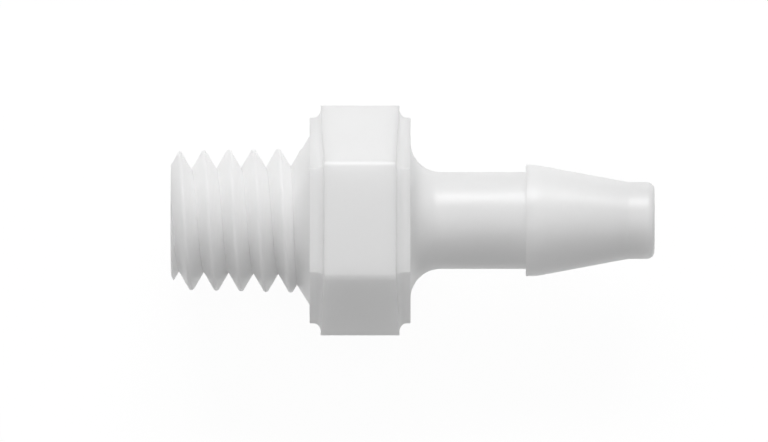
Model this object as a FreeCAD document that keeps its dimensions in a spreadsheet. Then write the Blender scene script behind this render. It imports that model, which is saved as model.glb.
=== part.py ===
import FreeCAD, Part
import math
import os

import Sketcher

# Threaded hose nipple, a one-piece moulded fitting. A fine taper thread screws into a tapped
# port, a hexagon takes the spanner, and a single barb holds a soft hose pushed over it.
#
# It lies as it rests on a bench, on one flat of its hexagon. X runs along the flow passage, from
# the thread at -X to the hose barb at +X, and Z is up. The origin is on the axis of the passage,
# in the plane of the hexagon's thread-side face. All lengths are in millimetres.

NODE = "hose_nipple"

SIZES = (
    ("thread_length", 4.43, "from the thread's end face to the hexagon"),
    ("thread_diameter", 4.42, "over the crests at the thread's end face"),
    ("thread_pitch", 0.79375, "32 turns to the inch"),
    ("thread_angle", 60.0, "degrees, included angle of the V groove"),
    ("thread_taper", 0.05, "growth of the diameter for each millimetre of length"),
    ("crest_share", 0.125, "flat crest as a share of the pitch"),
    ("thread_end_diameter", 3.56, "small end of the lead-in chamfer"),
    ("lead_in_angle", 60.0, "degrees from the axis to the lead-in chamfer"),
    ("last_root", 0.605, "last full groove, back from the hexagon"),
    ("hex_flats", 6.40, "across the flats of the hexagon, for a quarter-inch spanner"),
    ("hex_length", 3.23, "along the axis"),
    ("hex_edge_round", 0.10, "radius of the six long edges"),
    ("cove_radius", 0.36, "hollow round along each end edge of the hexagon"),
    ("shoulder_land", 0.09, "flat ring between the cone and the cove"),
    ("shoulder_angle", 58.0, "degrees from the axis to the cone behind the thread"),
    ("neck_diameter", 3.10, "where the hose is clamped"),
    ("neck_length", 3.69, "from the hexagon to the back of the barb"),
    ("neck_fillet", 1.00, "between the hexagon and the neck"),
    ("barb_diameter", 3.56, "over the sharp edge of the barb"),
    ("barb_land", 0.32, "straight land behind the barb's cone"),
    ("barb_cone", 2.95, "length of the barb's cone"),
    ("tip_diameter", 2.46, "straight tip that enters the hose"),
    ("tip_length", 0.84, "straight tip, its round included"),
    ("tip_round", 0.24, "radius of the tip's outer edge"),
    ("port_bore", 2.00, "passage cored from the thread end"),
    ("hose_bore", 1.60, "passage cored from the barb end"),
    ("bore_step_angle", 45.0, "degrees from the axis to the step in the passage"),
)

# Places and sizes that follow from those above, and that several features share.
PLACES = (
    ("crest_slope", "Sizes.thread_taper / 2", "rise of the crests towards the hexagon"),
    ("groove_half", "Sizes.thread_pitch * (1 - Sizes.crest_share) / 2", "half the groove's mouth"),
    ("groove_depth", "groove_half / tan(Sizes.thread_angle / 2 * 1deg)", "from crest to root"),
    (
        "groove_start",
        "-Sizes.last_root - (ceil(Sizes.thread_length / Sizes.thread_pitch) + 1) * Sizes.thread_pitch",
        "where the groove's cutter starts, clear of the thread's end face",
    ),
    (
        "groove_travel",
        "Sizes.thread_pitch - Sizes.last_root - groove_start",
        "from there to inside the hexagon",
    ),
    (
        "groove_crest",
        "Sizes.thread_diameter / 2 + crest_slope * (groove_start + Sizes.thread_length)",
        "radius over the crests, carried on to where the cutter starts",
    ),
    (
        "lead_in",
        "(Sizes.thread_diameter - Sizes.thread_end_diameter) / 2"
        " / (tan(Sizes.lead_in_angle * 1deg) - crest_slope)",
        "length of the lead-in chamfer",
    ),
    (
        "seat_radius",
        "Sizes.hex_flats / 2 - Sizes.cove_radius - Sizes.shoulder_land",
        "the shoulder's cone where it meets the hexagon",
    ),
    (
        "neck_root",
        "min(Sizes.neck_fillet; seat_radius - Sizes.neck_diameter / 2)",
        "fillet of the neck, held inside the flat that the coves leave on the hexagon's end",
    ),
    ("barb_back", "Sizes.hex_length + Sizes.neck_length", "sharp back face of the barb"),
    ("barb_end", "barb_back + Sizes.barb_land + Sizes.barb_cone", "where the straight tip starts"),
    ("hose_end", "barb_end + Sizes.tip_length", "hose end face"),
    ("bore_change", "Sizes.hex_length / 2", "where the two cored passages meet"),
    (
        "bore_step",
        "(Sizes.port_bore - Sizes.hose_bore) / 2 / tan(Sizes.bore_step_angle * 1deg)",
        "length of the step in the passage",
    ),
    (
        "overshoot",
        "Sizes.thread_pitch * Sizes.crest_share / 4",
        "how far a cutter stands clear of the solid",
    ),
)

# How close two lengths are when an edge is looked up by its place.
NEAR = 1e-4


def make_sheets(doc):
    """The driving dimensions as plain numbers, and the places worked out from them."""
    sizes = doc.addObject("Spreadsheet::Sheet", "Sizes")
    for row, (alias, value, note) in enumerate(SIZES, start=1):
        sizes.set(f"A{row}", alias)
        sizes.set(f"B{row}", str(value))
        sizes.set(f"C{row}", note)
        sizes.setAlias(f"B{row}", alias)
    doc.recompute()
    places = doc.addObject("Spreadsheet::Sheet", "Places")
    for row, (alias, formula, note) in enumerate(PLACES, start=1):
        places.set(f"A{row}", alias)
        places.set(f"B{row}", f"={formula}")
        places.set(f"C{row}", note)
        places.setAlias(f"B{row}", alias)
        doc.recompute()
    return sizes, places


def origin_feature(body, role):
    """One of the body's own origin planes or axes."""
    return next(f for f in body.Origin.OriginFeatures if f.Role == role)


def new_sketch(body, name, role):
    sketch = body.newObject("Sketcher::SketchObject", name)
    sketch.AttachmentSupport = (origin_feature(body, role), "")
    sketch.MapMode = "FlatFace"
    return sketch


def measure(sketch, expression):
    """The value that an expression on the sheet has now."""
    value = sketch.evalExpression(expression)
    return float(getattr(value, "Value", value))


def bind_point(sketch, line, vertex, kind, expression, name):
    """Places a vertex at a signed distance from the origin, along X or Y of its sketch."""
    value = measure(sketch, expression)
    origin = (-1, 1)
    if value < 0:
        ends = (line, vertex) + origin
        expression = f"-({expression})"
    else:
        ends = origin + (line, vertex)
    index = sketch.addConstraint(Sketcher.Constraint(kind, *ends, abs(value)))
    sketch.renameConstraint(index, name)
    sketch.setExpression(f"Constraints.{name}", expression)


def draw_outline(sketch, corners):
    """A closed outline. Each corner is (name, x, y), and x and y are expressions on the sheet."""
    spots = [FreeCAD.Vector(measure(sketch, x), measure(sketch, y), 0) for _, x, y in corners]
    count = len(corners)
    for i in range(count):
        sketch.addGeometry(Part.LineSegment(spots[i], spots[(i + 1) % count]), False)
    for i in range(count):
        sketch.addConstraint(Sketcher.Constraint("Coincident", i, 2, (i + 1) % count, 1))
    for i, (name, x, y) in enumerate(corners):
        bind_point(sketch, i, 1, "DistanceX", x, f"{name}_x")
        if y == "0":
            sketch.addConstraint(Sketcher.Constraint("PointOnObject", i, 1, -1))
        else:
            bind_point(sketch, i, 1, "DistanceY", y, f"{name}_y")


def turn(body, kind, name, sketch):
    """A full turn of an outline about the passage axis."""
    feature = body.newObject(kind, name)
    feature.Profile = sketch
    feature.ReferenceAxis = (sketch, ["H_Axis"])
    feature.Angle = 360.0
    body.Document.recompute()
    return feature


def add_thread_blank(body):
    """The tapered rod that the thread is formed on, with its lead-in chamfer."""
    crest = "Sizes.thread_diameter / 2 + Places.crest_slope * ({x} + Sizes.thread_length)"
    chamfer_end = "-Sizes.thread_length + Places.lead_in"
    inside = "Places.bore_change"
    sketch = new_sketch(body, "ThreadBlankOutline", "XY_Plane")
    draw_outline(
        sketch,
        (
            ("end_axis", "-Sizes.thread_length", "0"),
            ("end_face", "-Sizes.thread_length", "Sizes.thread_end_diameter / 2"),
            ("chamfer", chamfer_end, crest.format(x=f"({chamfer_end})")),
            ("hidden", inside, crest.format(x=inside)),
            ("hidden_axis", inside, "0"),
        ),
    )
    return turn(body, "PartDesign::Revolution", "ThreadBlank", sketch)


def draw_thread_line(doc):
    """The right-hand taper helix that the thread's root follows."""
    line = doc.addObject("Part::Helix", "ThreadHelix")
    line.setExpression("Pitch", "Sizes.thread_pitch")
    line.setExpression("Height", "Places.groove_travel")
    line.setExpression("Radius", "Places.groove_crest - Places.groove_depth")
    line.setExpression("Angle", "atan(Places.crest_slope)")
    line.SegmentLength = 1.0
    # A third of a turn about the space diagonal lays the helix along X, with its start over +Y.
    diagonal = FreeCAD.Vector(1, 1, 1)
    line.Placement = FreeCAD.Placement(FreeCAD.Vector(), FreeCAD.Rotation(diagonal, 120))
    line.setExpression("Placement.Base.x", "Places.groove_start")
    doc.recompute()
    return line


def cut_thread(body):
    """The V groove, swept down the taper helix. It ends under the shoulder cone."""
    line = body.newObject("PartDesign::SubShapeBinder", "ThreadLine")
    line.Support = [(draw_thread_line(body.Document), ("",))]
    mouth = "(Places.groove_half + Places.overshoot * tan(Sizes.thread_angle / 2 * 1deg))"
    crest = "Places.groove_crest + Places.overshoot"
    sketch = new_sketch(body, "ThreadGrooveOutline", "XY_Plane")
    draw_outline(
        sketch,
        (
            ("root", "Places.groove_start", "Places.groove_crest - Places.groove_depth"),
            ("hex_side", f"Places.groove_start + {mouth}", crest),
            ("end_side", f"Places.groove_start - {mouth}", crest),
        ),
    )
    groove = body.newObject("PartDesign::SubtractivePipe", "ThreadGroove")
    groove.Profile = sketch
    groove.Spine = (line, [])
    groove.Mode = "Binormal"
    groove.Binormal = FreeCAD.Vector(1, 0, 0)
    body.Document.recompute()
    return groove


def add_hexagon(body):
    """The spanner hexagon, with two flats level so that it can lie on either."""
    sketch = new_sketch(body, "HexagonOutline", "YZ_Plane")
    corner = measure(sketch, "Sizes.hex_flats / 2 / cos(30deg)")
    spots = [
        FreeCAD.Vector(
            corner * math.cos(math.radians(60 * i)),
            corner * math.sin(math.radians(60 * i)),
            0,
        )
        for i in range(6)
    ]
    for i in range(6):
        sketch.addGeometry(Part.LineSegment(spots[i], spots[(i + 1) % 6]), False)
    centre = FreeCAD.Vector(0, 0, 0)
    axis = FreeCAD.Vector(0, 0, 1)
    circle = sketch.addGeometry(Part.Circle(centre, axis, corner), True)
    sketch.addConstraint(Sketcher.Constraint("Coincident", circle, 3, -1, 1))
    for i in range(6):
        sketch.addConstraint(Sketcher.Constraint("Coincident", i, 2, (i + 1) % 6, 1))
        sketch.addConstraint(Sketcher.Constraint("PointOnObject", i, 1, circle))
    for i in range(5):
        sketch.addConstraint(Sketcher.Constraint("Equal", i, i + 1))
    sketch.addConstraint(Sketcher.Constraint("PointOnObject", 0, 1, -1))
    radius = sketch.addConstraint(Sketcher.Constraint("Radius", circle, corner))
    sketch.renameConstraint(radius, "corner_radius")
    sketch.setExpression("Constraints.corner_radius", "Sizes.hex_flats / 2 / cos(30deg)")
    pad = body.newObject("PartDesign::Pad", "Hexagon")
    pad.Profile = sketch
    pad.setExpression("Length", "Sizes.hex_length")
    body.Document.recompute()
    return pad


def edges_where(shape, test):
    """Names of the edges of a shape that pass a test."""
    return [f"Edge{i}" for i, edge in enumerate(shape.Edges, start=1) if test(edge)]


def fillet(body, name, base, radius, test):
    """Rounds the edges of the last feature that pass a test."""
    names = edges_where(base.Shape, test)
    if not names:
        raise RuntimeError(f"{name} finds no edge")
    feature = body.newObject("PartDesign::Fillet", name)
    feature.Base = (base, names)
    feature.setExpression("Radius", radius)
    body.Document.recompute()
    return feature


def round_hexagon(body, pad, sizes):
    """The small round that the mould leaves on the six long edges."""
    corner = sizes.hex_flats / 2 / math.cos(math.radians(30))

    def is_long_edge(edge):
        start = edge.Vertexes[0].Point
        end = edge.Vertexes[-1].Point
        spans = abs(abs(start.x - end.x) - sizes.hex_length) < NEAR
        return spans and abs(math.hypot(start.y, start.z) - corner) < NEAR

    return fillet(body, "HexagonEdges", pad, "Sizes.hex_edge_round", is_long_edge)


def cut_coves(body):
    """A hollow round along every end edge of the hexagon, centred on the edge itself."""
    sketch = new_sketch(body, "CoveOutline", "XZ_Plane")
    flat = measure(sketch, "Sizes.hex_flats / 2")
    radius = measure(sketch, "Sizes.cove_radius")
    axis = FreeCAD.Vector(0, 0, 1)
    ends = (("thread_side", "0"), ("hose_side", "Sizes.hex_length"))
    for name, x in ends:
        centre = FreeCAD.Vector(measure(sketch, x), flat, 0)
        circle = sketch.addGeometry(Part.Circle(centre, axis, radius), False)
        if x == "0":
            sketch.addConstraint(Sketcher.Constraint("PointOnObject", circle, 3, -2))
        else:
            bind_point(sketch, circle, 3, "DistanceX", x, f"{name}_x")
        bind_point(sketch, circle, 3, "DistanceY", "Sizes.hex_flats / 2", f"{name}_flat")
        index = sketch.addConstraint(Sketcher.Constraint("Radius", circle, radius))
        sketch.renameConstraint(index, f"{name}_radius")
        sketch.setExpression(f"Constraints.{name}_radius", "Sizes.cove_radius")
    cove = body.newObject("PartDesign::Pocket", "Cove")
    cove.Profile = sketch
    cove.Midplane = True
    cove.setExpression("Length", "2 * Sizes.hex_flats")
    body.Document.recompute()
    pattern = body.newObject("PartDesign::PolarPattern", "Coves")
    pattern.Originals = [cove]
    pattern.Axis = (origin_feature(body, "X_Axis"), [""])
    pattern.Angle = 360.0
    pattern.Occurrences = 6
    body.Tip = pattern
    body.Document.recompute()
    return pattern


def add_shoulder(body):
    """The cone behind the thread. It covers the groove's run-out and stiffens the root."""
    inner = "Sizes.hose_bore / 2"
    foot = f"-(Places.seat_radius - {inner}) / tan(Sizes.shoulder_angle * 1deg)"
    inside = "Places.bore_change"
    sketch = new_sketch(body, "ShoulderOutline", "XY_Plane")
    draw_outline(
        sketch,
        (
            ("foot_axis", foot, "0"),
            ("foot", foot, inner),
            ("seat", "0", "Places.seat_radius"),
            ("hidden", inside, "Places.seat_radius"),
            ("hidden_axis", inside, "0"),
        ),
    )
    return turn(body, "PartDesign::Revolution", "Shoulder", sketch)


def add_hose_stem(body):
    """The neck, the barb with its sharp back face, and the straight tip."""
    inside = "Places.bore_change"
    neck = "Sizes.neck_diameter / 2"
    barb = "Sizes.barb_diameter / 2"
    tip = "Sizes.tip_diameter / 2"
    sketch = new_sketch(body, "HoseStemOutline", "XY_Plane")
    draw_outline(
        sketch,
        (
            ("hidden_axis", inside, "0"),
            ("hidden", inside, neck),
            ("neck_end", "Places.barb_back", neck),
            ("barb_back", "Places.barb_back", barb),
            ("barb_land", "Places.barb_back + Sizes.barb_land", barb),
            ("tip_start", "Places.barb_end", tip),
            ("tip_end", "Places.hose_end", tip),
            ("tip_axis", "Places.hose_end", "0"),
        ),
    )
    return turn(body, "PartDesign::Revolution", "HoseStem", sketch)


def is_circle(edge, x, radius):
    """Whether an edge is the circle of that radius about the axis, at that place along it."""
    curve = edge.Curve
    return (
        isinstance(curve, Part.Circle)
        and abs(curve.Center.x - x) < NEAR
        and abs(curve.Radius - radius) < NEAR
    )


def cut_passage(body):
    """The flow passage, cored from both ends and stepped where the cores meet."""
    port = "Sizes.port_bore / 2"
    hose = "Sizes.hose_bore / 2"
    port_mouth = "-(Sizes.thread_length + Places.overshoot)"
    hose_mouth = "Places.hose_end + Places.overshoot"
    sketch = new_sketch(body, "PassageOutline", "XY_Plane")
    draw_outline(
        sketch,
        (
            ("port_axis", port_mouth, "0"),
            ("port_wall", port_mouth, port),
            ("step_start", "Places.bore_change", port),
            ("step_end", "Places.bore_change + Places.bore_step", hose),
            ("hose_wall", hose_mouth, hose),
            ("hose_axis", hose_mouth, "0"),
        ),
    )
    return turn(body, "PartDesign::Groove", "Passage", sketch)


def must_remove(before, after, what):
    """Stops the build when a cut has missed the solid."""
    if after.Shape.Volume > before.Shape.Volume - NEAR:
        raise RuntimeError(f"{what} removes nothing")


def build_nipple(doc, sizes, places):
    """The fitting as one body: thread, hexagon, shoulder, hose stem and passage, in that order."""
    body = doc.addObject("PartDesign::Body", "Nipple")
    body.Label = NODE
    blank = add_thread_blank(body)
    groove = cut_thread(body)
    must_remove(blank, groove, "the thread groove")
    pad = add_hexagon(body)
    rounded = round_hexagon(body, pad, sizes)
    coves = cut_coves(body)
    must_remove(rounded, coves, "the coves")
    add_shoulder(body)
    stem = add_hose_stem(body)
    neck = fillet(
        body,
        "NeckFillet",
        stem,
        "Places.neck_root",
        lambda edge: is_circle(edge, sizes.hex_length, sizes.neck_diameter / 2),
    )
    tip = fillet(
        body,
        "TipRound",
        neck,
        "Sizes.tip_round",
        lambda edge: is_circle(edge, places.hose_end, sizes.tip_diameter / 2),
    )
    passage = cut_passage(body)
    must_remove(tip, passage, "the passage")
    body.Tip = passage
    doc.recompute()
    return body


def check(doc, bodies):
    """Stops the build on a failed feature or an open or broken solid."""
    for item in doc.Objects:
        if "Invalid" in item.State or "Error" in item.State:
            raise RuntimeError(f"{item.Name} failed: {item.State}")
    for body in bodies:
        shape = body.Shape
        if shape.isNull() or not shape.isValid() or len(shape.Solids) != 1:
            raise RuntimeError(f"{body.Label} is not one valid solid")
        if not shape.Solids[0].isClosed():
            raise RuntimeError(f"{body.Label} is open")


def main():
    doc = FreeCAD.newDocument("HoseNipple")
    sizes, places = make_sheets(doc)
    bodies = [build_nipple(doc, sizes, places)]
    check(doc, bodies)
    os.makedirs("parts", exist_ok=True)
    for body in bodies:
        body.Shape.exportStep(os.path.join("parts", f"{body.Label}.step"))
        box = body.Shape.optimalBoundingBox()
        print(
            f"{body.Label}: {body.Shape.Volume:.3f} mm3, {len(body.Shape.Faces)} faces, "
            f"x {box.XMin:.3f} to {box.XMax:.3f}, y {box.YMin:.3f} to {box.YMax:.3f}, "
            f"z {box.ZMin:.3f} to {box.ZMax:.3f}"
        )


main()
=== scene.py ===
import math

import bmesh
import bpy
from mathutils import Matrix, Vector


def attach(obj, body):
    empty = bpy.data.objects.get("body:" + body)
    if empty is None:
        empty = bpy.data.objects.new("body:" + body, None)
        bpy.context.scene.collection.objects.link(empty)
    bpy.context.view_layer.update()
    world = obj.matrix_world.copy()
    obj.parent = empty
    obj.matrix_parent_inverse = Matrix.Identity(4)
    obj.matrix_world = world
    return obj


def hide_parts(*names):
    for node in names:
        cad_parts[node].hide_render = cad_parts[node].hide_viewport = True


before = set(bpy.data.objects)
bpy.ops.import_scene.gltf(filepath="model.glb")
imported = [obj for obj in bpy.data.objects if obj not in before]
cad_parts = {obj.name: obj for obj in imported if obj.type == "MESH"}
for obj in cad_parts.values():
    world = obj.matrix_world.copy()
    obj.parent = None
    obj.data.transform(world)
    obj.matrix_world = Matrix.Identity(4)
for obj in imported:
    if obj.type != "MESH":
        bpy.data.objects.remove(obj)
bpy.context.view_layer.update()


# The turned body of the hose nipple: the cone behind the thread, the neck and the barb. The real
# one is a single shot of natural white nylon. Its cavity was turned about one axis, so one outline
# is drawn here in millimetres, as (x, radius), and spun.

HEX_LENGTH = 3.23
CONE_FOOT_RADIUS = 0.4  # inside the passage, so it is cored away
SEAT_RADIUS = 2.70  # where the cone meets the hexagon
SHOULDER_ANGLE = math.radians(58)
NECK_RADIUS = 1.55
NECK_FILLET = 0.96
BARB_BACK = 6.92
BARB_RADIUS = 1.78
BARB_LAND = 0.32
LAND_BLEND = 2.0
TIP_START = 10.19
TIP_RADIUS = 1.23
TIP_BLEND = 0.5
HOSE_END = 11.03
TIP_ROUND = 0.24
AXIS = (1, 0, 0)
STEPS_AROUND = 192
SAME_POINT = 1e-4


def line_to(bm, last, x, radius):
    """Draws a straight line of the outline, from its last point to a new one."""
    point = bm.verts.new((x, radius, 0))
    bm.edges.new((last, point))
    return point


def arc_about(bm, last, x, radius, degrees, steps):
    """Draws an arc of the outline, by spinning its last point about a centre."""
    swept = bmesh.ops.spin(
        bm,
        geom=[last],
        cent=(x, radius, 0),
        axis=(0, 0, 1),
        angle=math.radians(degrees),
        steps=steps,
    )
    return next(part for part in swept["geom_last"] if isinstance(part, bmesh.types.BMVert))


def spin_outline(bm, steps):
    """Spins the outline a full turn about the passage axis and closes it into a solid."""
    bmesh.ops.spin(
        bm,
        geom=bm.verts[:] + bm.edges[:],
        cent=(0, 0, 0),
        axis=AXIS,
        angle=math.tau,
        steps=steps,
        use_merge=True,
    )
    bmesh.ops.remove_doubles(bm, verts=bm.verts[:], dist=SAME_POINT)
    bmesh.ops.recalc_face_normals(bm, faces=bm.faces[:])


def make_object(name, bm):
    """Puts a finished bmesh into an object at the origin."""
    mesh = bpy.data.meshes.new(name)
    bm.to_mesh(mesh)
    bm.free()
    made = bpy.data.objects.new(name, mesh)
    bpy.context.scene.collection.objects.link(made)
    return made


turned = bmesh.new()
cone_foot = -(SEAT_RADIUS - CONE_FOOT_RADIUS) / math.tan(SHOULDER_ANGLE)
pen = turned.verts.new((cone_foot, 0, 0))
pen = line_to(turned, pen, cone_foot, CONE_FOOT_RADIUS)
pen = line_to(turned, pen, 0, SEAT_RADIUS)

# The hexagon covers the way from the cone to the neck's fillet.
fillet_top = NECK_RADIUS + NECK_FILLET
pen = line_to(turned, pen, HEX_LENGTH / 3, SEAT_RADIUS)
pen = line_to(turned, pen, HEX_LENGTH / 2, fillet_top)
pen = line_to(turned, pen, HEX_LENGTH, fillet_top)
pen = arc_about(turned, pen, HEX_LENGTH + NECK_FILLET, fillet_top, degrees=90, steps=24)
pen = line_to(turned, pen, BARB_BACK, NECK_RADIUS)
pen = line_to(turned, pen, BARB_BACK, BARB_RADIUS)

# Polished blends lead from the barb's land into its cone, and from the cone into the tip.
slope = math.atan((BARB_RADIUS - TIP_RADIUS) / (TIP_START - BARB_BACK - BARB_LAND))
land_end = BARB_BACK + BARB_LAND - LAND_BLEND * math.tan(slope / 2)
below_land = BARB_RADIUS - LAND_BLEND
pen = line_to(turned, pen, land_end, BARB_RADIUS)
pen = arc_about(turned, pen, land_end, below_land, degrees=-math.degrees(slope), steps=8)
tip_foot = TIP_START + TIP_BLEND * math.tan(slope / 2)
lift = TIP_BLEND * (1 - math.cos(slope))
above_tip = TIP_RADIUS + TIP_BLEND
pen = line_to(turned, pen, tip_foot - TIP_BLEND * math.sin(slope), TIP_RADIUS + lift)
pen = arc_about(turned, pen, tip_foot, above_tip, degrees=math.degrees(slope), steps=4)

round_start = HOSE_END - TIP_ROUND
pen = line_to(turned, pen, round_start, TIP_RADIUS)
pen = arc_about(turned, pen, round_start, TIP_RADIUS - TIP_ROUND, degrees=-90, steps=12)
pen = line_to(turned, pen, HOSE_END, 0)
spin_outline(turned, STEPS_AROUND)
nipple = make_object("hose_nipple_moulding", turned)


# The hexagon for the spanner, of the same shot. A cove follows every end edge of it, and the cove's
# wall leans in from the parting line so that the mould opens. It is spun in six steps, one for each
# flat.

HEX_SIDES = 6
HEX_APOTHEM = 3.20
COVE = 0.35
COVE_RADIUS = 0.22
RIM_ROUND = 0.03
DRAFT = math.radians(2.3)
PARTING_SETBACK = 0.06
EDGE_SETBACK = 0.15

six_sided = bmesh.new()
rim = HEX_APOTHEM - COVE
rim_start = rim - RIM_ROUND
cove_top = rim + COVE_RADIUS
neck_cove = HEX_LENGTH - COVE
pen = six_sided.verts.new((0, 0, 0))
pen = line_to(six_sided, pen, 0, rim_start)
pen = arc_about(six_sided, pen, RIM_ROUND, rim_start, degrees=-90, steps=3)
pen = line_to(six_sided, pen, COVE - COVE_RADIUS, rim)
pen = arc_about(six_sided, pen, COVE - COVE_RADIUS, cove_top, degrees=90, steps=10)
pen = line_to(six_sided, pen, COVE, HEX_APOTHEM)
pen = line_to(six_sided, pen, neck_cove, HEX_APOTHEM)
pen = line_to(six_sided, pen, neck_cove, cove_top)
pen = arc_about(six_sided, pen, neck_cove + COVE_RADIUS, cove_top, degrees=90, steps=10)
pen = line_to(six_sided, pen, HEX_LENGTH - RIM_ROUND, rim)
pen = arc_about(six_sided, pen, HEX_LENGTH - RIM_ROUND, rim_start, degrees=-90, steps=3)
pen = line_to(six_sided, pen, HEX_LENGTH, 0)
spin_outline(six_sided, HEX_SIDES)
to_corners = 1 / math.cos(math.pi / HEX_SIDES)
bmesh.ops.scale(six_sided, verts=six_sided.verts[:], vec=(1, to_corners, to_corners))
for vert in six_sided.verts:
    end = 0 if vert.co.x < HEX_LENGTH / 2 else HEX_LENGTH
    vert.co.x += (vert.co.x - end) / COVE * abs(vert.co.z) * math.tan(DRAFT)


def long_edges(bm, at_parting):
    """The edges from one cove to the other, those on the parting line or those off it."""
    return [
        edge
        for edge in bm.edges
        if abs(edge.verts[0].co.x - edge.verts[1].co.x) > HEX_LENGTH / 2
        and (abs(edge.verts[0].co.z) < HEX_APOTHEM / 2) == at_parting
    ]


def round_edges(bm, edges, setback, segments, clamp_overlap=False):
    """Puts the mould's round on some edges."""
    bmesh.ops.bevel(
        bm,
        geom=edges,
        affect="EDGES",
        offset=setback,
        segments=segments,
        profile=0.5,
        material=-1,
        clamp_overlap=clamp_overlap,
    )


# The two long edges on the parting line are crisp. The other four have the cutter's round.
round_edges(six_sided, long_edges(six_sided, at_parting=True), PARTING_SETBACK, segments=4)
round_edges(six_sided, long_edges(six_sided, at_parting=False), EDGE_SETBACK, segments=8)
hexagon = make_object("hexagon", six_sided)


# The external thread, a fine right-hand taper thread moulded in the same shot. Its groove is cut
# as a V into the cavity on a lathe, so one pitch of it is drawn and screwed along the axis.

PITCH = 0.79375
TAPER_SLOPE = 0.025
THREAD_END = -4.43
CREST_RADIUS = 2.21
CREST_FLAT = 0.125 * PITCH
CREST_SETBACK = 0.045
GROOVE_DEPTH = 0.6015
LAST_ROOT = -0.605
PITCHES_TO_LAST_ROOT = 6
TURNS = 8
STEPS_PER_TURN = 128
CORNER_ANGLE = math.radians(25)
CUT_PLACES = ((THREAD_END - 0.3, -1), (0.5, 1))  # beyond the end face, and inside the hexagon
ON_PLANE = 1e-5

screwed = bmesh.new()
first_root = LAST_ROOT - PITCHES_TO_LAST_ROOT * PITCH
flank = (PITCH - CREST_FLAT) / 2
pen = screwed.verts.new((first_root - PITCH / 2, CREST_RADIUS, 0))
pen = line_to(screwed, pen, first_root - flank, CREST_RADIUS)
pen = line_to(screwed, pen, first_root, CREST_RADIUS - GROOVE_DEPTH)
pen = line_to(screwed, pen, first_root + flank, CREST_RADIUS)
pen = line_to(screwed, pen, first_root + PITCH / 2, CREST_RADIUS)
bmesh.ops.spin(
    screwed,
    geom=screwed.verts[:] + screwed.edges[:],
    cent=(0, 0, 0),
    axis=AXIS,
    dvec=(PITCH / STEPS_PER_TURN, 0, 0),
    angle=math.tau * TURNS,
    steps=STEPS_PER_TURN * TURNS,
)
bmesh.ops.remove_doubles(screwed, verts=screwed.verts[:], dist=SAME_POINT)
for vert in screwed.verts:
    radius = math.hypot(vert.co.y, vert.co.z)
    vert.co.yz = vert.co.yz * (1 + TAPER_SLOPE * (vert.co.x - THREAD_END) / radius)


def is_crest_corner(edge):
    """Whether an edge follows the helix at a corner of the crest. The root stays sharp."""
    radius = math.hypot(edge.verts[0].co.y, edge.verts[0].co.z)
    return radius > CREST_RADIUS - GROOVE_DEPTH / 2 and edge.calc_face_angle(0) > CORNER_ANGLE


crest_corners = [edge for edge in screwed.edges if is_crest_corner(edge)]
round_edges(screwed, crest_corners, CREST_SETBACK, segments=3, clamp_overlap=True)
for place, side in CUT_PLACES:
    cut = bmesh.ops.bisect_plane(
        screwed,
        geom=screwed.verts[:] + screwed.edges[:] + screwed.faces[:],
        plane_co=(place, 0, 0),
        plane_no=(side, 0, 0),
        clear_outer=True,
        dist=ON_PLANE,
    )
    cut_edges = [part for part in cut["geom_cut"] if isinstance(part, bmesh.types.BMEdge)]
    bmesh.ops.edgenet_fill(screwed, edges=cut_edges)
bmesh.ops.recalc_face_normals(screwed, faces=screwed.faces[:])
thread = make_object("thread", screwed)


# The blank that the thread is kept inside, as the turned cavity keeps it. Its end is chamfered at
# 60 degrees, so that the thread finds its port.

CHAMFER_FOOT = 1.78
CHAMFER_RUN = 0.4
CHAMFER_ANGLE = math.radians(60)
BLANK_RADIUS = 2.6
BLANK_DEPTH = 1.0  # how far it reaches into the hexagon

plain = bmesh.new()
chamfer_top = CHAMFER_FOOT + CHAMFER_RUN * math.tan(CHAMFER_ANGLE)
pen = plain.verts.new((THREAD_END, 0, 0))
pen = line_to(plain, pen, THREAD_END, CHAMFER_FOOT)
pen = line_to(plain, pen, THREAD_END + CHAMFER_RUN, chamfer_top)
pen = line_to(plain, pen, BLANK_DEPTH, BLANK_RADIUS)
pen = line_to(plain, pen, BLANK_DEPTH, 0)
spin_outline(plain, STEPS_AROUND)
blank = make_object("blank", plain)


# The flow passage, a hollow that two polished core pins leave. They meet under the hexagon, where
# the wider one from the thread's end tapers to the other.

THREAD_BORE_RADIUS = 1.0
HOSE_BORE_RADIUS = 0.8
CORE_TAPER = 0.2
CORE_OVERRUN = 1

cores = bmesh.new()
pen = cores.verts.new((THREAD_END - CORE_OVERRUN, 0, 0))
pen = line_to(cores, pen, THREAD_END - CORE_OVERRUN, THREAD_BORE_RADIUS)
pen = line_to(cores, pen, HEX_LENGTH / 2, THREAD_BORE_RADIUS)
pen = line_to(cores, pen, HEX_LENGTH / 2 + CORE_TAPER, HOSE_BORE_RADIUS)
pen = line_to(cores, pen, HOSE_END + CORE_OVERRUN, HOSE_BORE_RADIUS)
pen = line_to(cores, pen, HOSE_END + CORE_OVERRUN, 0)
spin_outline(cores, steps=96)
passage = make_object("passage", cores)


# The moulding as it leaves the mould, in one piece. Its forms are joined into one solid, cored, and
# brought from millimetres to metres. Blends shade smooth, and only real corners stay sharp.

METRES_PER_MM = 0.001
SHARP_ANGLE = math.radians(28)


def join(piece, operation, other):
    """Adds, keeps or cuts away another solid, and removes that solid from the scene."""
    tool = piece.modifiers.new(operation.title(), "BOOLEAN")
    tool.operation = operation
    tool.solver = "EXACT"
    tool.object = other
    settled = piece.evaluated_get(bpy.context.evaluated_depsgraph_get())
    piece.data = bpy.data.meshes.new_from_object(settled)
    piece.modifiers.clear()
    bpy.data.objects.remove(other)


join(nipple, "UNION", hexagon)
join(thread, "INTERSECT", blank)
join(nipple, "UNION", thread)
join(nipple, "DIFFERENCE", passage)
nipple.data.transform(Matrix.Scale(METRES_PER_MM, 4))
nipple.data.shade_smooth()
nipple.data.set_sharp_from_angle(angle=SHARP_ANGLE)

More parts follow.
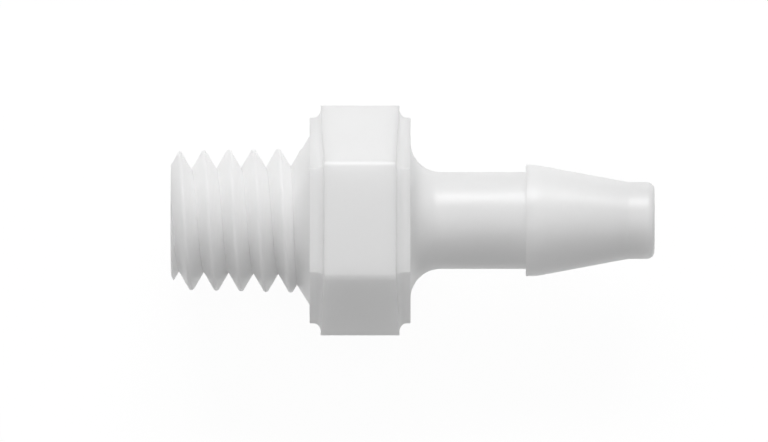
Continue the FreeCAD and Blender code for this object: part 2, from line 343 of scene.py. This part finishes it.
# Natural nylon 6/6, unpigmented, so it is milky and lets light soak in for about a millimetre. The
# fine spark-eroded cavity leaves it a satin skin. That skin's grain is about 0.02 mm, finer than a
# pixel, so it is drawn about four times as coarse.

SOAK = 1.1
GRAINS_PER_MM = 12
GRAIN_HEIGHT = 0.01


def linear(code):
    """The linear colour of an sRGB hex value."""
    parts = [int(code[i : i + 2], 16) / 255 for i in (0, 2, 4)]
    return [p / 12.92 if p <= 0.04045 else ((p + 0.055) / 1.055) ** 2.4 for p in parts] + [1]


def empty_tree(owner):
    """Gives a material or a world a node tree with nothing in it."""
    owner.use_nodes = True
    owner.node_tree.nodes.clear()
    return owner.node_tree


def add_node(tree, kind, settings=(), links=()):
    """Adds a node, sets its properties and sockets, and links its inputs by name or place."""
    node = tree.nodes.new(kind)
    for name, value in dict(settings).items():
        if name in node.inputs:
            node.inputs[name].default_value = value
        else:
            setattr(node, name, value)
    for name, source in dict(links).items():
        tree.links.new(source, node.inputs[name])
    return node


nylon = bpy.data.materials.new("natural_nylon_moulded")
tree = empty_tree(nylon)
place = add_node(tree, "ShaderNodeTexCoord")
skin = add_node(
    tree,
    "ShaderNodeTexNoise",
    {"Scale": GRAINS_PER_MM / METRES_PER_MM, "Detail": 3, "Roughness": 0.6},
    {"Vector": place.outputs["Object"]},
)
bump = add_node(
    tree,
    "ShaderNodeBump",
    {"Strength": 0.15, "Distance": GRAIN_HEIGHT * METRES_PER_MM},
    {"Height": skin.outputs["Fac"]},
)
shader = add_node(
    tree,
    "ShaderNodeBsdfPrincipled",
    {
        "Base Color": linear("FAFAFA"),
        "Roughness": 0.36,
        "IOR": 1.53,
        "Subsurface Weight": 1.0,
        "Subsurface Radius": (1.0, 1.0, 1.0),
        "Subsurface Scale": SOAK * METRES_PER_MM,
    },
    {"Normal": bump.outputs["Normal"]},
)
add_node(tree, "ShaderNodeOutputMaterial", links={"Surface": shader.outputs["BSDF"]})

nipple.data.materials.clear()
nipple.data.materials.append(nylon)
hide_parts("hose_nipple")
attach(nipple, "root")


# The camera. The photograph looks straight down on the part with a long lens, so that it is nearly
# a side elevation of it. From here on lengths are in metres.

SENSOR_WIDTH = 36  # the one length that the camera takes in millimetres
CAMERA_HEIGHT = 0.55
FRAME_WIDTH = 0.024576  # at the axis
FRAME_CENTRE = (0.00238, -0.000016)

camera = bpy.data.objects.new("camera", bpy.data.cameras.new("camera"))
bpy.context.scene.collection.objects.link(camera)
camera.location = (*FRAME_CENTRE, CAMERA_HEIGHT)
camera.data.sensor_width = SENSOR_WIDTH
camera.data.lens = SENSOR_WIDTH * CAMERA_HEIGHT / FRAME_WIDTH
camera.data.clip_start = 0.01
camera.data.clip_end = 10
bpy.context.scene.camera = camera


# Soft studio light. The key softbox stands beyond the part, square to its axis. A weaker one stands
# at each end, so low that the card cuts off its foot. A large one hangs overhead, and the pale room
# fills the shadows.

PART_MIDDLE = Vector((0.0033, 0, 0))
SOFTBOX_DISTANCE = 0.45
ROOM_FILL = 0.26


def softbox(name, lean, swing, size, power):
    """Adds a softbox, leant off the vertical and swung along the part's axis, in degrees."""
    light = bpy.data.lights.new(name, "AREA")
    light.shape = "RECTANGLE"
    light.size, light.size_y = size
    light.energy = power
    lamp = bpy.data.objects.new(name, light)
    bpy.context.scene.collection.objects.link(lamp)
    lean, swing = math.radians(lean), math.radians(swing)
    across = Vector((0, math.sin(lean), math.cos(lean)))
    out = math.sin(swing) * Vector(AXIS) + math.cos(swing) * across
    lamp.location = PART_MIDDLE + SOFTBOX_DISTANCE * out
    lamp.rotation_euler = out.to_track_quat("Z", "Y").to_euler()


def background_rays(tree):
    """A factor of 1 for the rays that show a background, and 0 for those that light the part."""
    ray = add_node(tree, "ShaderNodeLightPath")
    seen = ray.outputs["Is Camera Ray"]
    for kind in ("Is Glossy Ray", "Is Transmission Ray"):
        links = {0: seen, 1: ray.outputs[kind]}
        seen = add_node(tree, "ShaderNodeMath", {"operation": "MAXIMUM"}, links).outputs[0]
    return seen


softbox("key_softbox", lean=57, swing=0, size=(0.30, 0.15), power=1.04)
softbox("thread_side_softbox", lean=57, swing=-72, size=(0.40, 0.40), power=0.27)
softbox("hose_side_softbox", lean=57, swing=72, size=(0.40, 0.40), power=0.18)
softbox("top_softbox", lean=0, swing=0, size=(0.40, 0.40), power=0.365)

room = bpy.data.worlds.new("room")
bpy.context.scene.world = room
tree = empty_tree(room)
white = linear("FFFFFF")
fill = add_node(tree, "ShaderNodeBackground", {"Color": white, "Strength": ROOM_FILL})
backdrop = add_node(tree, "ShaderNodeBackground", {"Color": white, "Strength": 1.0})
mix = add_node(
    tree,
    "ShaderNodeMixShader",
    links={0: background_rays(tree), 1: fill.outputs[0], 2: backdrop.outputs[0]},
)
add_node(tree, "ShaderNodeOutputWorld", links={"Surface": mix.outputs[0]})


# The part lies on white card, which washes out in the photograph. The card gives most of its white
# to the camera and to reflections as its own light, and keeps the part's soft shadow.

CARD_REACH = 1.5
CARD_GLOW = 0.94

card = bmesh.new()
bmesh.ops.create_grid(card, x_segments=1, y_segments=1, size=CARD_REACH)
card_level = -HEX_APOTHEM * METRES_PER_MM
bmesh.ops.translate(card, verts=card.verts[:], vec=(0, 0, card_level))
floor = make_object("white_card", card)
paper = bpy.data.materials.new("white_card")
tree = empty_tree(paper)
matt = add_node(tree, "ShaderNodeBsdfDiffuse", {"Color": linear("E7E7E7")})
shade = add_node(tree, "ShaderNodeBsdfDiffuse", {"Color": linear("555555")})
glow = add_node(tree, "ShaderNodeEmission", {"Color": white, "Strength": CARD_GLOW})
washed = add_node(tree, "ShaderNodeAddShader", links={0: glow.outputs[0], 1: shade.outputs[0]})
mix = add_node(
    tree,
    "ShaderNodeMixShader",
    links={0: background_rays(tree), 1: matt.outputs[0], 2: washed.outputs[0]},
)
add_node(tree, "ShaderNodeOutputMaterial", links={"Surface": mix.outputs[0]})
floor.data.materials.append(paper)

bpy.context.scene.view_settings.view_transform = "Standard"
